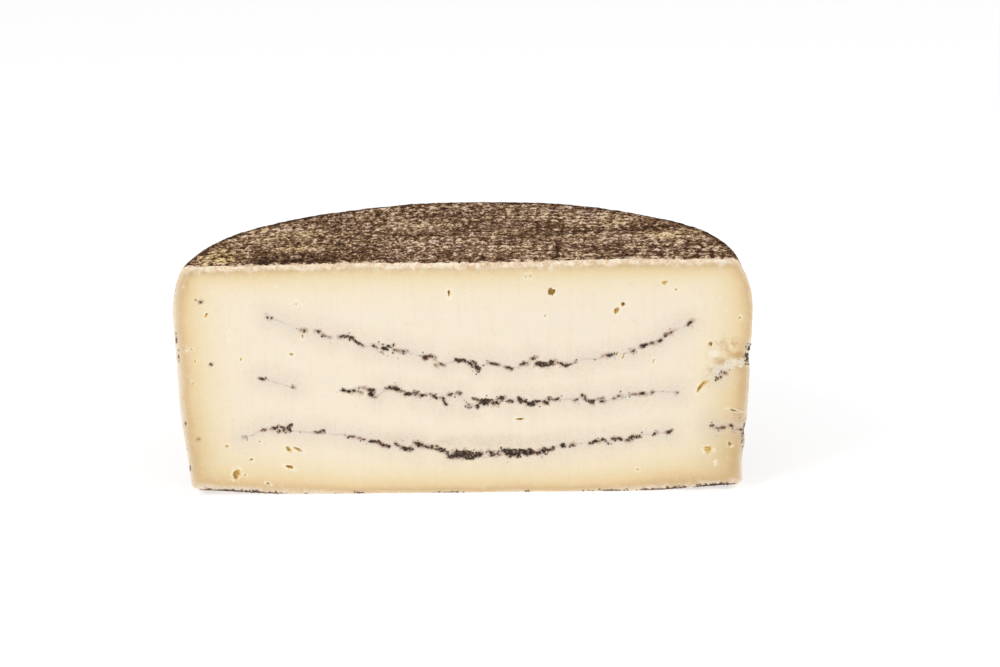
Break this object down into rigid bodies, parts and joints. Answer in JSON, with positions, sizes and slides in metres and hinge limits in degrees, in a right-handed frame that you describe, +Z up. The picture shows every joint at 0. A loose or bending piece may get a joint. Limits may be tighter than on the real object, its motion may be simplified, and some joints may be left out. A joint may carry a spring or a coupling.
{
  "type": "half wheel of truffle sheep cheese",
  "caption": "Half a wheel of aged sheep's cheese with a dark net-marked rind, cut flat through the middle to show layers of black truffle in pale paste.",
  "frame": {"origin": "middle of the half wheel's box, on the flat of its base", "axes": "+Z up, +X along the cut face to the right as seen from in front, the cut face looks along -Y and the rounded back along +Y"},
  "size_m": [0.21, 0.105, 0.0884],
  "materials": {
    "cheese": "smooth satin cut paste, pale ivory in the middle and straw yellow near the rind",
    "rind": "dry matt brown-black rind with a net imprint worn to beige on its high points",
    "truffle": "moist brown-black truffle crumbs"
  },
  "bodies": {
    "root": {"cheese": "cheese", "truffle_layer_upper": "truffle", "truffle_layer_middle": "truffle", "truffle_layer_lower": "truffle"}
  },
  "joints": []
}
